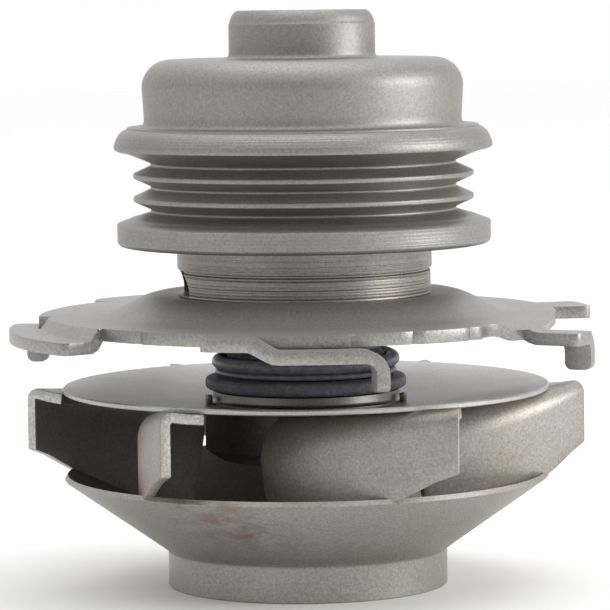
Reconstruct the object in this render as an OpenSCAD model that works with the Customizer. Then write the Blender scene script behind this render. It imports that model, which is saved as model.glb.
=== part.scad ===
// Cartridge engine coolant pump, standing on its inlet neck with the pulley on top.
// Angles of plate features are measured from the front (-Y) toward +X.

/* [Shroud] */
// outside radius of the inlet neck
neck_r = 21.7; // [18:0.1:26]
// height of the straight part of the neck
neck_h = 5.6; // [3:0.1:10]
// outside radius of the shroud rim
shroud_r = 37.6; // [32:0.1:44]
// height of the shroud rim's outer edge
shroud_z = 16.85; // [12:0.05:22]
// sheet thickness of the shroud
shroud_t = 0.95; // [0.6:0.05:2]

/* [Impeller] */
// radius of the back plate
disk_r = 37.7; // [32:0.1:44]
// top of the back plate at its rim
disk_z = 31.1; // [28:0.1:34]
// sheet thickness of the back plate
disk_t = 0.8; // [0.5:0.05:2]
// slope of the dished back plate
disk_slope = 0.12; // [0:0.01:0.25]
// radius of the flat middle of the back plate
disk_flat_r = 16; // [15:0.1:20]
// sheet thickness of a vane
vane_t = 1.5; // [0.8:0.1:2.5]
// outer radius of a vane's curve
vane_rho = 46.8; // [35:0.1:60]
// place of the curve's centre in X
vane_cx = 21.4; // [15:0.1:30]
// place of the curve's centre in Y
vane_cy = -18.45; // [-30:0.05:-10]
// width of the folded flange over its wall
flange_w = 7; // [4:0.1:10]
// outside radius of the fold
fold_r = 2.3; // [1.6:0.1:3.5]
// outside radius of the impeller hub
hub_r = 15.7; // [14:0.1:15.9]
// radius of the hub's spigot through the back plate
spigot_r = 10.5; // [9:0.1:12]

/* [Shaft and bearing] */
// radius of the shaft
shaft_r = 7.96; // [6:0.01:9]
// lower end of the shaft
shaft_z0 = 19; // [15:0.1:25]
// upper end of the shaft
shaft_z1 = 88.2; // [80:0.1:95]
// outside radius of the bearing
race_r = 15; // [13:0.1:17]
// inside radius of the bearing's outer race
race_in_r = 12.4; // [11.5:0.1:14]
// lower end of the outer race
race_z0 = 50; // [48:0.1:55]
// upper end of the outer race
race_z1 = 77.5; // [70:0.1:80]
// radius of a ball
ball_r = 3; // [2:0.1:3.5]
// radius of the circle of the balls
pitch_r = 10.06; // [9:0.01:11]
// number of balls in a row
balls = 8; // [6:1:9]
// height of the lower row of balls
row_lower = 55.5; // [54:0.1:58]
// height of the upper row of balls
row_upper = 72; // [68:0.1:74]
// play around a ball
ball_gap = 0.08; // [0.02:0.01:0.1]

/* [Body] */
// outside radius of the turned body
body_r = 19.7; // [17:0.1:22]
// radius below the groove line
body_low_r = 19.5; // [17:0.1:22]
// seat of the body on the plate
body_z0 = 45.1; // [43:0.1:48]
// height of the groove line
groove_z = 49; // [47:0.1:52]
// top of the body
body_z1 = 78.6; // [70:0.1:79]
// radius of the body's spigot in the plate
body_spigot_r = 17; // [15:0.1:18]

/* [Plate] */
// sheet thickness of the mounting plate
plate_t = 1.9; // [1.2:0.1:3]
// top of the plate's flat rim
plate_z = 42.2; // [40:0.1:45]
// radius of the plate's rim
plate_r = 38.8; // [35:0.1:42]
// top of the lowered lugs
lug_z = 40.4; // [38:0.1:42]
// lower end of the bent-down stops
stop_z = 34.2; // [32:0.1:37]

/* [Seal] */
// radius of the seal spring's coil at the middle of its wire
spring_r = 13.55; // [13:0.05:14]
// radius of the spring's wire
wire_r = 1.05; // [0.6:0.05:1.2]
// height of the spring's lowest turn
spring_z0 = 34.8; // [34.5:0.1:36]
// height of the spring's highest turn
spring_z1 = 40.15; // [38:0.05:40.2]
// radius of the seat boot
boot_r = 15.6; // [14:0.1:17]
// radius of the steel seat cup
seat_cup_r = 14.7; // [13:0.1:16]

/* [Pulley] */
// radius of the boss
boss_r = 11.3; // [10:0.1:13]
// top of the boss
boss_z = 88.9; // [84:0.1:95]
// top of the dome
dome_z = 81.5; // [78:0.1:85]
// radius of the dome's wall
dome_r = 24.8; // [22:0.1:27]
// rounding of the dome's shoulder
dome_round = 4.3; // [2:0.1:6]
// radius of the lower flange
low_flange_r = 28.9; // [27:0.1:31]
// radius of the ridges of the belt seat
ridge_r = 26.3; // [25:0.1:28]
// radius of the valleys of the belt seat
valley_r = 23.6; // [22.8:0.1:25]
// pitch of the belt grooves
rib_pitch = 3.56; // [3:0.01:4]
// middle of the lowest groove
groove0_z = 58.35; // [57:0.05:60]
// radius of the band's bore around the hub's skirt
band_in_r = 22.1; // [21.5:0.1:23]

/* [Hidden] */
$fn = 96;
steel = [0.62, 0.61, 0.59];
bright = [0.75, 0.75, 0.74];
dark = [0.1, 0.1, 0.12];
disk_under = disk_z - disk_t;
disk_drop = (disk_r - disk_flat_r) * disk_slope;
flat_top = disk_z - disk_drop;
shroud_slope = (shroud_z - neck_h) / (shroud_r - neck_r);
shroud_ang = atan(shroud_slope);
rim_in_r = shroud_r - shroud_t * sin(shroud_ang);
rim_in_z = shroud_z + shroud_t * cos(shroud_ang);
neck_in_r = neck_r - shroud_t;
neck_in_z = rim_in_z - shroud_slope * (rim_in_r - neck_in_r);
tilt = 4.07;
lug_bottom = lug_z - plate_t;
plate_bottom = plate_z - plate_t;
// a lug's root lies this far inside the sheet that it joins, so that no faces lie on each other
root_in = 0.02;

// points of an arc in a turned section, from angle a0 to a1 in n steps
function arc(x, z, r, a0, a1, n) =
  [for (i = [0:n]) [x + r * cos(a0 + (a1 - a0) * i / n), z + r * sin(a0 + (a1 - a0) * i / n)]];

// a turned ring with a square section
module ring(r0, r1, z0, z1) {
  rotate_extrude()
    translate([r0, z0])
      square([r1 - r0, z1 - z0]);
}

// part of a ring between two angles from the front
module sector(r0, r1, a0, a1, z0, z1) {
  rotate([0, 0, a0 - 90])
    rotate_extrude(angle = a1 - a0)
      translate([r0, z0])
        square([r1 - r0, z1 - z0]);
}

// a section in (tangent, height) drawn out along the radius at an angle from the front
module radial(a, r0, r1) {
  rotate([0, 0, a])
    translate([0, -r0, 0])
      rotate([90, 0, 0])
        linear_extrude(r1 - r0)
          children();
}

// a lug in the plate's own plane, between two angles from the front
module lug_sector(r, a0, a1) {
  sector(36.5, r, a0, a1, plate_bottom + root_in, plate_z - root_in);
}

// the S-bend between the plate's plane, on the side of -tangent, and a lowered lug
module joggle_section(reach0, reach1) {
  polygon([[-reach0, plate_z - 2 * root_in], [-0.9, plate_z - 2 * root_in], [0.9, lug_z], [reach1, lug_z],
           [reach1, lug_bottom], [0.7, lug_bottom], [-1.1, plate_bottom + 2 * root_in],
           [-reach0, plate_bottom + 2 * root_in]]);
}

// a lug's end bent down as a stop; s is 1 when it bends at the +tangent end
module stop_section(s, back, end) {
  bend_out = 3.6;
  cx = end - bend_out;
  cz = lug_z - bend_out;
  section = concat([[back, lug_bottom + root_in], [back, lug_z - root_in]],
                   arc(cx, cz, bend_out - root_in, 90, 0, 6),
                   [[end - root_in, stop_z], [end - plate_t + root_in, stop_z]],
                   arc(cx, cz, bend_out - plate_t + root_in, 0, 90, 4));
  polygon([for (p = section) [s * p[0], p[1]]]);
}

// a lug pressed down along its root, between two angles from the front
module joggled(a0, a1, r) {
  rotate([0, 0, a0 - 90])
    rotate_extrude(angle = a1 - a0)
      polygon([[36, plate_z - root_in], [39.5, plate_z - root_in], [41.1, lug_z], [r, lug_z],
               [r, lug_bottom], [40.8, lug_bottom], [39.2, plate_bottom + root_in],
               [36, plate_bottom + root_in]]);
}

module pulley_hub() {
  skirt_r = band_in_r - 1.2;
  color(steel)
    rotate_extrude()
      polygon(concat(
        [[band_in_r - 0.4, 66], [band_in_r, 66.4], [band_in_r, 71.2], [dome_r - 0.3, 71.2],
         [dome_r - 0.3, 71.9]],
        arc(dome_r - dome_round, dome_z - dome_round, dome_round, 0, 90, 8),
        arc(boss_r + 0.6, dome_z + 0.6, 0.6, 270, 180, 3),
        arc(boss_r - 1.8, boss_z - 1.8, 1.8, 0, 90, 6),
        [[shaft_r, boss_z], [shaft_r, 79.5]],
        arc(skirt_r - 2, 77.5, 2, 90, 0, 4),
        [[skirt_r, 66]]));
}

module pulley_band() {
  p = rib_pitch;
  z0 = groove0_z;
  color(steel)
    rotate_extrude()
      polygon(concat(
        [[band_in_r, 52.9], [low_flange_r - 0.8, 52.9], [low_flange_r - 0.25, 53.1],
         [low_flange_r, 53.6], [low_flange_r, 56], [low_flange_r - 0.15, 56.3],
         [low_flange_r - 0.5, 56.45], [ridge_r - 0.2, 56.9]],
        [for (i = [0:2]) each [
          [valley_r + 0.1, z0 + i * p - 0.25], [valley_r, z0 + i * p], [valley_r + 0.1, z0 + i * p + 0.25],
          [ridge_r - 0.15, z0 + i * p + p / 2 - 0.3], [ridge_r, z0 + i * p + p / 2],
          [i < 2 ? ridge_r - 0.15 : 29.05, z0 + i * p + p / 2 + 0.3]]],
        [[29.25, 67.85], [29.2, 68.3], [28.6, 69.9], [28.1, 70.75], [27.7, 71.1], [27.3, 71.2],
         [band_in_r, 71.2]]));
}

module pump_shaft() {
  color(bright)
    difference() {
      union() {
        translate([0, 0, shaft_z0 + 0.7])
          cylinder(r = shaft_r, h = shaft_z1 - shaft_z0 - 1.4);
        translate([0, 0, shaft_z0])
          cylinder(r1 = shaft_r - 0.7, r2 = shaft_r, h = 0.7);
        translate([0, 0, shaft_z1 - 0.7])
          cylinder(r1 = shaft_r, r2 = shaft_r - 0.7, h = 0.7);
      }
      for (z = [row_lower, row_upper])
        translate([0, 0, z])
          rotate_extrude()
            translate([pitch_r, 0])
              circle(ball_r + ball_gap);
      for (z = [shaft_z0 - 0.01, shaft_z1 + 0.01])
        translate([0, 0, z])
          mirror([0, 0, z > 50 ? 1 : 0])
            cylinder(r1 = 2.6, r2 = 0.4, h = 2.2);
    }
}

module slinger() {
  color(bright)
    rotate_extrude()
      polygon([[shaft_r, 47.6], [9.2, 47.6], [9.6, 48], [11.6, 48.3], [11.6, 49], [9.4, 48.8],
               [shaft_r, 48.8]]);
}

module bearing_race() {
  color(bright)
    difference() {
      rotate_extrude()
        polygon([[race_in_r, race_z0], [race_r - 0.5, race_z0], [race_r, race_z0 + 0.5],
                 [race_r, race_z1 - 0.5], [race_r - 0.5, race_z1], [race_in_r, race_z1]]);
      for (z = [row_lower, row_upper])
        translate([0, 0, z])
          rotate_extrude()
            translate([pitch_r, 0])
              circle(ball_r + ball_gap);
    }
}

// a row of balls at height z
module ball_row(z) {
  for (i = [0:balls - 1])
    rotate([0, 0, i * 360 / balls])
      translate([pitch_r, 0, z])
        sphere(ball_r);
}

// a ring with a pocket for each ball
module cage(z) {
  difference() {
    ring(9.3, 11.1, z - 1.9, z + 2.9);
    for (i = [0:balls - 1])
      rotate([0, 0, i * 360 / balls])
        translate([pitch_r, 0, z])
          sphere(ball_r + ball_gap);
  }
}

module balls_upper() {
  color(bright)
    ball_row(row_upper);
}

module cage_upper() {
  color([0.45, 0.4, 0.3])
    cage(row_upper);
}

module balls_lower() {
  color(bright)
    ball_row(row_lower);
}

module cage_lower() {
  color([0.45, 0.4, 0.3])
    cage(row_lower);
}

// a lipped washer in the end of the outer race
module bearing_seal(z) {
  rotate_extrude()
    polygon([[shaft_r + 0.35, z + 0.25], [shaft_r + 0.35, z + 0.65], [9.3, z + 0.9], [race_in_r, z + 0.9],
             [race_in_r, z], [9.3, z]]);
}

module bearing_seal_upper() {
  color(dark)
    bearing_seal(race_z1 - 1.5);
}

module bearing_seal_lower() {
  color(dark)
    bearing_seal(race_z0 + 0.6);
}

module bearing_body() {
  color(steel)
    difference() {
      rotate_extrude()
        polygon([[12.6, 42], [body_spigot_r - 0.4, 42], [body_spigot_r, 42.4],
                 [body_spigot_r, body_z0], [body_low_r, body_z0], [body_low_r, groove_z - 0.2],
                 [body_low_r - 0.25, groove_z], [body_r, groove_z + 0.2], [body_r, body_z1 - 0.8],
                 [body_r - 0.8, body_z1], [race_r + 0.5, body_z1], [race_r, body_z1 - 0.5],
                 [race_r, race_z0], [14, race_z0], [14, 45.6], [12.6, 45.2]]);
      sector(13, 22, -95, -68, body_z0 + 0.35, groove_z + 0.5);
    }
}

module mounting_plate() {
  color(steel)
    difference() {
      union() {
        rotate_extrude()
          polygon([[body_spigot_r, body_z0], [19.9, body_z0], [22.4, 45.45], [23.6, 45.4],
                   [25.6, 44.8], [27, 44.1], [29.6, 42.9], [32.5, plate_z], [plate_r, plate_z],
                   [plate_r, plate_bottom], [32.2, plate_bottom], [29, 41], [26.4, 42.2],
                   [25, 43], [23.2, 43.5], [20, body_z0 - plate_t], [body_spigot_r, body_z0 - plate_t]]);
        // front lug: full plane, web, lowered arm and its stop
        lug_sector(46, -19, -11);
        lug_sector(41.7, -10.9, 9.5);
        intersection() {
          union() {
            radial(-9.5, 40, 48)
              joggle_section(2.6, 2.6);
            radial(0, 40, 48)
              stop_section(1, -6, 12.5);
          }
          sector(42.1, 46.3, -14, 18, 30, 43);
        }
        // right lug and its stop
        joggled(60, 67.8, 46.9);
        intersection() {
          radial(66, 40, 48)
            stop_section(1, 0, 5);
          sector(41.8, 46, 62, 76, 30, 43);
        }
        // back-right and back-left lugs in the plate's plane
        lug_sector(45, 96, 109);
        lug_sector(46, -150, -127);
        // the rim runs wider behind the left lug
        sector(36, 41.2, -128, -86.5, plate_bottom + 2 * root_in, plate_z - 2 * root_in);
        // left lug, its arm and its stop
        joggled(-86, -51.5, 46.6);
        sector(41.3, 46.5, -98.5, -84, lug_bottom + root_in, lug_z - root_in);
        intersection() {
          radial(-96, 39, 48)
            stop_section(-1, 0, 5.6);
          sector(40.8, 45.2, -108, -92, 30, 43);
        }
      }
      // scallop in front of the right lug
      rotate([0, 0, 47.5])
        translate([0, -42.2, 38])
          cylinder(r = 5, h = 6);
    }
}

module seal_cup() {
  color(bright)
    rotate_extrude()
      polygon([[8.9, 47], [12.6, 47], [12.6, 42], [body_spigot_r - 0.5, 42], [body_spigot_r - 0.5, 41.2],
               [11.8, 41.2], [11.8, 46.2], [8.9, 46.2]]);
}

module seal_bellows() {
  color(dark)
    rotate_extrude()
      polygon([[11.4, 33.75], [12.2, 33.75], [12.2, 36], [11.2, 36.8], [11.2, 37.8], [12.2, 38.6],
               [12.2, 39.6], [11.8, 40.2], [11.8, 46.2], [9.6, 46.2], [9.6, 45.2], [10.8, 45.2],
               [10.8, 39.8], [11.2, 39.3], [11.2, 39], [10.2, 38.1], [10.2, 36.5], [11.4, 35.4]]);
}

// half a turn of wire whose ends rise from -rise/2 to rise/2, with a hair's gap to the next
module half_turn(z, rise, side) {
  lean = atan(rise / (2 * spring_r));
  translate([0, 0, z])
    rotate([0, side * lean, 0])
      rotate([0, 0, side > 0 ? 180 : 0])
        rotate([0, 0, 0.05])
          rotate_extrude(angle = 179.9)
            translate([spring_r / cos(lean), 0])
              circle(wire_r);
}

module seal_spring() {
  rise = (spring_z1 - spring_z0) / 3;
  color(dark) {
    half_turn(spring_z0, 0, -1);
    half_turn(spring_z0 + rise * 0.5, rise, 1);
    half_turn(spring_z0 + rise * 1.5, rise, -1);
    half_turn(spring_z0 + rise * 2.5, rise, 1);
    half_turn(spring_z1, 0, -1);
  }
}

module spring_collar() {
  color(dark)
    rotate_extrude()
      polygon([[11.4, 32.86], [13.8, 32.86], [14.1, 33.1], [14.1, 33.5], [13.8, 33.75], [11.4, 33.75]]);
}

module carbon_ring() {
  color(dark)
    ring(9.2, 11.4, 32.66, 35.4);
}

module seat_ring() {
  color([0.3, 0.3, 0.3])
    ring(9.6, 13.2, 29.9, 32.6);
}

module seat_boot() {
  color(dark)
    rotate_extrude()
      polygon([[spigot_r, 29], [13.9, 29], [13.9, 29.5], [14.9, 29.55], [15.4, 29.8], [boot_r, 30.2],
               [boot_r, 32], [boot_r - 0.2, 32.35], [boot_r - 0.6, 32.5], [13.2, 32.5], [13.2, 29.9],
               [spigot_r, 29.9]]);
}

module seat_cup() {
  color(bright) {
    rotate_extrude()
      polygon([[spigot_r, flat_top], [seat_cup_r, flat_top], [seat_cup_r, 29.3], [14.55, 29.48],
               [14.3, 29.5], [13.9, 29.4], [13.9, 29], [spigot_r, 29]]);
    for (a = [-75, 75])
      sector(seat_cup_r - 0.2, 16.6, a - 3, a + 3, flat_top + 0.1, 29.45);
  }
}

module impeller_hub() {
  color(bright)
    rotate_extrude()
      polygon([[shaft_r, 19.6], [hub_r - 2.4, 19.6], [hub_r, 21.2], [hub_r, flat_top - disk_t],
               [spigot_r, flat_top - disk_t], [spigot_r, 29.4], [shaft_r, 29.4]]);
}

module back_plate() {
  color(steel)
    rotate_extrude()
      polygon([[spigot_r, flat_top - disk_t], [disk_flat_r, flat_top - disk_t], [disk_r, disk_under],
               [disk_r, disk_z], [disk_flat_r, flat_top], [spigot_r, flat_top]]);
}

// the space between two surfaces of the impeller, high ones minus low ones
module between(z0, slope0, r0, z1, slope1, r1) {
  rotate_extrude()
    polygon([[10, z0 - slope0 * (r0 - 10)], [50, z0 - slope0 * (r0 - 50)],
             [50, z1 - slope1 * (r1 - 50)], [10, z1 - slope1 * (r1 - 10)]]);
}

// a band about the vane's own centre, from inner radius a to outer radius b
module vane_arc(a, b) {
  translate([vane_cx, vane_cy, 0])
    rotate([0, 0, 164])
      rotate_extrude(angle = 40.4)
        translate([a, 5])
          square([b - a, 40]);
}

// one stamped vane: its wall stands on the shroud, its folded flange lies under the back plate
module vane(k) {
  rotate([0, 0, 60 * k])
    color(steel)
      difference() {
        union() {
          intersection() {
            vane_arc(vane_rho - vane_t, vane_rho);
            between(rim_in_z, shroud_slope, rim_in_r, disk_under, disk_slope, disk_r);
          }
          intersection() {
            vane_arc(vane_rho - flange_w, vane_rho);
            between(disk_under - vane_t, disk_slope, disk_r, disk_under, disk_slope, disk_r);
          }
        }
        translate([vane_cx, vane_cy, 29.6])
          rotate([-tilt, 0, 0])
            rotate_extrude()
              difference() {
                translate([vane_rho - fold_r, -fold_r])
                  square([fold_r + 1, fold_r + 1]);
                translate([vane_rho - fold_r, -fold_r])
                  circle(fold_r);
              }
      }
}

module vane_1() { vane(0); }
module vane_2() { vane(1); }
module vane_3() { vane(2); }
module vane_4() { vane(3); }
module vane_5() { vane(4); }
module vane_6() { vane(5); }

module shroud() {
  color(steel)
    rotate_extrude()
      polygon([[neck_in_r, 0], [neck_r, 0], [neck_r, neck_h], [shroud_r, shroud_z],
               [rim_in_r, rim_in_z], [neck_in_r, neck_in_z]]);
}

pulley_hub();
pulley_band();
pump_shaft();
slinger();
bearing_race();
balls_upper();
cage_upper();
balls_lower();
cage_lower();
bearing_seal_upper();
bearing_seal_lower();
bearing_body();
mounting_plate();
seal_cup();
seal_bellows();
seal_spring();
spring_collar();
carbon_ring();
seat_ring();
seat_boot();
seat_cup();
impeller_hub();
back_plate();
vane_1();
vane_2();
vane_3();
vane_4();
vane_5();
vane_6();
shroud();
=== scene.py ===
import bpy, bmesh, math
from mathutils import Vector, Matrix


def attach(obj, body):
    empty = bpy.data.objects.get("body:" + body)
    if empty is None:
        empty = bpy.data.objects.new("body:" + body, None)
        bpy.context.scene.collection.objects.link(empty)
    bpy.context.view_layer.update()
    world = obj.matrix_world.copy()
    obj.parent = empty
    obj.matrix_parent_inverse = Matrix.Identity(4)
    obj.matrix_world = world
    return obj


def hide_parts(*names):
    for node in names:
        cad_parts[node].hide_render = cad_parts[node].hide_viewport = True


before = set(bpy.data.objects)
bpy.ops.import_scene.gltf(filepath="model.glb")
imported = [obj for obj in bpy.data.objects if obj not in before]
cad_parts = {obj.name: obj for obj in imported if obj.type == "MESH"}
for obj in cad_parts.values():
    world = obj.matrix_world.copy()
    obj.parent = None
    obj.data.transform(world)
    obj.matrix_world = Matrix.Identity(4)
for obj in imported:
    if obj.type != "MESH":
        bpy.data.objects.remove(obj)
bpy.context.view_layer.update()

mm = 0.001
up = Vector((0, 0, 1))


# helpers for modelling by operators

def report(text):
    print("water pump:", text)


def startFrom(name):
    # a plane merged to one vertex at the origin, ready to be extruded
    bpy.ops.object.select_all(action="DESELECT")
    bpy.ops.mesh.primitive_plane_add(size=1 * mm, location=(0, 0, 0))
    piece = bpy.context.object
    piece.name = name
    bpy.ops.object.mode_set(mode="EDIT")
    bpy.ops.mesh.select_all(action="SELECT")
    bpy.ops.mesh.merge(type="CENTER")
    return piece


def drawLine(points, closed=False):
    # extrudes the single vertex along points, which are in millimetres
    last = Vector((0, 0, 0))
    for i, p in enumerate(points):
        p = Vector(p)
        move = (p - last) * mm
        if i == 0:
            bpy.ops.transform.translate(value=move)
        else:
            bpy.ops.mesh.extrude_region_move(TRANSFORM_OT_translate={"value": move})
        last = p
    if closed:
        bpy.ops.mesh.extrude_region_move(
            TRANSFORM_OT_translate={"value": (Vector(points[0]) - last) * mm})
        bpy.ops.mesh.select_all(action="SELECT")
        bpy.ops.mesh.remove_doubles(threshold=0.001 * mm)


def closeUp(gap=0.002):
    # merges what is nearer than the gap, in millimetres, and leaves edit mode
    bpy.ops.mesh.select_all(action="SELECT")
    bpy.ops.mesh.remove_doubles(threshold=gap * mm)
    bpy.ops.mesh.normals_make_consistent(inside=False)
    bpy.ops.mesh.select_all(action="DESELECT")
    bpy.ops.object.mode_set(mode="OBJECT")


def applyAll(piece):
    bpy.context.view_layer.objects.active = piece
    for m in list(piece.modifiers):
        bpy.ops.object.modifier_apply(modifier=m.name)


def soften(piece, width, segments=2, angle=28, smooth=35):
    # rounds the sharp edges and shades the rest smooth
    if width:
        m = piece.modifiers.new("edges", "BEVEL")
        m.width = width * mm
        m.segments = segments
        m.limit_method = "ANGLE"
        m.angle_limit = math.radians(angle)
        m.harden_normals = False
        m.use_clamp_overlap = True
        applyAll(piece)
    bpy.ops.object.select_all(action="DESELECT")
    piece.select_set(True)
    bpy.context.view_layer.objects.active = piece
    bpy.ops.object.shade_smooth_by_angle(angle=math.radians(smooth))


def thicken(piece, thickness):
    # a sheet gets its thickness; its sheared rim takes the second material
    for side in ("Face", "Edge"):
        piece.data.materials.append(bpy.data.materials.new("placeholder" + side))
    sheet = piece.modifiers.new("sheet", "SOLIDIFY")
    sheet.thickness = thickness * mm
    sheet.offset = -1
    sheet.use_even_offset = True
    sheet.material_offset_rim = 1
    applyAll(piece)


def arc(x, z, r, a0, a1, n):
    # points of an arc in a turned section
    out = []
    for i in range(n + 1):
        a = math.radians(a0 + (a1 - a0) * i / n)
        out.append((x + r * math.cos(a), z + r * math.sin(a)))
    return out


def turned(name, section, steps=144, edge=0.15, segments=2, angle=28):
    # a section of (radius, height) in millimetres spun about the shaft's line
    piece = startFrom(name)
    drawLine([(r, 0, z) for r, z in section], closed=True)
    bpy.ops.mesh.select_all(action="SELECT")
    bpy.ops.mesh.spin(steps=steps, angle=2 * math.pi, center=(0, 0, 0), axis=(0, 0, 1))
    closeUp()
    soften(piece, edge, segments, angle)
    return piece


def vertsWhere(piece, test):
    # in edit mode: selects the vertices that pass a test on their place in millimetres
    mesh = bmesh.from_edit_mesh(piece.data)
    mesh.select_mode = {"VERT"}
    count = 0
    for v in mesh.verts:
        v.select = bool(test(v.co / mm))
        count += v.select
    mesh.select_flush_mode()
    bmesh.update_edit_mesh(piece.data)
    return count


def reshape(piece, place, every=False):
    # in edit mode: moves the selected vertices, or every one, to where place says, in millimetres
    mesh = bmesh.from_edit_mesh(piece.data)
    for v in mesh.verts:
        if every or v.select:
            v.co = place(v.co / mm) * mm
    bmesh.update_edit_mesh(piece.data)


def share(value, low, high):
    # how far a value has come from low to high, from 0 to 1
    return min(max((value - low) / (high - low), 0), 1)


def eased(k):
    return k * k * (3 - 2 * k)


def polar(p):
    # radius and the angle from the front toward +X
    return math.hypot(p.x, p.y), math.degrees(math.atan2(p.x, -p.y))


def ringPoint(r, angle, z):
    a = math.radians(angle)
    return Vector((r * math.sin(a), -r * math.cos(a), z))


def finishPiece(piece, body, materialSlot, *nodes):
    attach(piece, body)
    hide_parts(*nodes)


report("modelling tools ready")

# pulley

hubSizes = {
    "skirtRadius": 22.1,      # where the band is pressed on
    "skirtWall": 1.2,
    "domeRadius": 24.8,
    "domeTop": 81.5,
    "shoulder": 4.3,
    "bossRadius": 11.3,
    "bossTop": 88.9,
    "chamfer": (1.25, 1.95),  # width and height of the boss's rounded chamfer
    "footRadius": 0.9,
    "bore": 7.96,
}
s = hubSizes
inner = s["skirtRadius"] - s["skirtWall"]
pulleyHub = turned("pulleyHub", [
    (s["skirtRadius"] - 0.4, 66), (s["skirtRadius"], 66.4), (s["skirtRadius"], 71.2),
    (s["domeRadius"] + 0.55, 71.2), (s["domeRadius"] + 0.15, 71.35), (s["domeRadius"] - 0.15, 71.65),
    (s["domeRadius"] - 0.28, 72.2), (s["domeRadius"] - 0.25, 73),
    *arc(s["domeRadius"] - s["shoulder"], s["domeTop"] - s["shoulder"], s["shoulder"], 0, 90, 14),
    *arc(s["bossRadius"] + s["footRadius"], s["domeTop"] + s["footRadius"], s["footRadius"], 270, 180, 6),
    (s["bossRadius"], s["bossTop"] - s["chamfer"][1] - 0.1),
    (s["bossRadius"] - 0.1, s["bossTop"] - s["chamfer"][1]),
    (s["bossRadius"] - 0.22, s["bossTop"] - 0.72 * s["chamfer"][1]),
    (s["bossRadius"] - 0.5, s["bossTop"] - 0.4 * s["chamfer"][1]),
    (s["bossRadius"] - 0.85, s["bossTop"] - 0.16 * s["chamfer"][1]),
    (s["bossRadius"] - s["chamfer"][0], s["bossTop"]),
    (s["bore"] + 0.4, s["bossTop"]), (s["bore"], s["bossTop"] - 0.4), (s["bore"], 79.5),
    *arc(inner - 2, 77.5, 2, 90, 0, 6),
    (inner, 66)], edge=0, steps=168)
finishPiece(pulleyHub, "rotor", "drawn_steel", "pulley_hub")

bandSizes = {
    "inner": 22.1,
    "flange": 28.9,          # lower flange
    "ridge": 26.3,
    "valley": 23.6,
    "pitch": 3.56,
    "tip": 0.22,             # flat on the ridges' tips
    "firstGroove": 58.35,
    "lip": 29.25,            # upper flange
    "top": 71.2,
    "bottom": 52.9,
    "tipRound": 0.36,
    "lines": 0.035,          # depth of the turning lines on the lower flange
    "linePitch": 0.47,
    "lineHeight": 0.23,
}
s = bandSizes
section = [(s["inner"], s["bottom"]), (s["flange"] - 0.9, s["bottom"]),
           (s["flange"] - 0.45, s["bottom"] + 0.1), (s["flange"] - 0.12, s["bottom"] + 0.4),
           (s["flange"], s["bottom"] + 0.85)]
for i in range(4):
    z = s["bottom"] + 1.2 + i * s["linePitch"]
    section += [(s["flange"] - s["lines"], z), (s["flange"], z + s["lineHeight"])]
section += [(s["flange"], 56.2), (s["flange"] - 0.12, 56.36), (s["flange"] - 1, 56.72),
            (s["ridge"] + 0.7, 57.0), (s["ridge"] + 0.4, 57.2), (s["ridge"] - 0.3, 57.35)]
for i in range(3):
    z = s["firstGroove"] + i * s["pitch"]
    section += arc(s["valley"] + 0.35, z, 0.35, 240, 120, 4)
    if i < 2:
        middle = z + s["pitch"] / 2
        section += arc(s["ridge"] - s["tipRound"], middle - s["tip"] / 2, s["tipRound"], -62, 0, 4)
        section += arc(s["ridge"] - s["tipRound"], middle + s["tip"] / 2, s["tipRound"], 0, 62, 4)
section += [(s["ridge"] - 0.1, 66.75), (s["ridge"] + 0.9, 67.15), (s["lip"] - 0.5, 67.5),
            (s["lip"] - 0.1, 67.75), (s["lip"], 68.1), (s["lip"] - 0.05, 68.5), (s["lip"] - 0.35, 69.3),
            (s["lip"] - 0.8, 70.1), (s["lip"] - 1.4, 70.65), (s["lip"] - 2, 70.9),
            (s["lip"] - 2.1, s["top"] - 0.05), (s["lip"] - 2.25, s["top"]),
            (s["inner"], s["top"])]
pulleyBand = turned("pulleyBand", section, edge=0, steps=168)
finishPiece(pulleyBand, "rotor", "turned_steel", "pulley_band")
report("pulley made")


# body

bodySizes = {
    "upper": 19.7,
    "lower": 19.5,
    "seat": 45.1,
    "groove": 49.0,
    "top": 78.6,
    "spigot": 17.0,
    "lineDepth": 0.06,      # turning lines below the groove
    "linePitch": 0.46,
    "slot": (-85, 6.6, 3.5),    # angle, half width and height of the drain slot's round top
    "slotFoot": 45.45,
}
s = bodySizes
section = [(12.6, 42), (s["spigot"] - 0.4, 42), (s["spigot"], 42.4), (s["spigot"], s["seat"]),
           (s["lower"] - 0.1, s["seat"]), (s["lower"], s["seat"] + 0.12)]
for i in range(7):
    z = s["seat"] + 0.35 + i * s["linePitch"]
    depth = s["lineDepth"] * (0.6 + 0.4 * math.cos(i * 2.1))
    section += [(s["lower"], z), (s["lower"] - depth, z + 0.09), (s["lower"], z + 0.18)]
section += [(s["lower"], s["groove"] - 0.3), (s["lower"] - 0.3, s["groove"] - 0.1),
            (s["lower"] - 0.3, s["groove"] + 0.1), (s["upper"] - 0.05, s["groove"] + 0.25),
            (s["upper"], s["groove"] + 0.4), (s["upper"], s["top"] - 0.8), (s["upper"] - 0.8, s["top"]),
            (15.5, s["top"]), (15, s["top"] - 0.5), (15, 50), (14, 50), (14, 45.6),
            (12.6, 45.2)]
bearingBody = turned("bearingBody", section, edge=0, steps=160)

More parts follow.
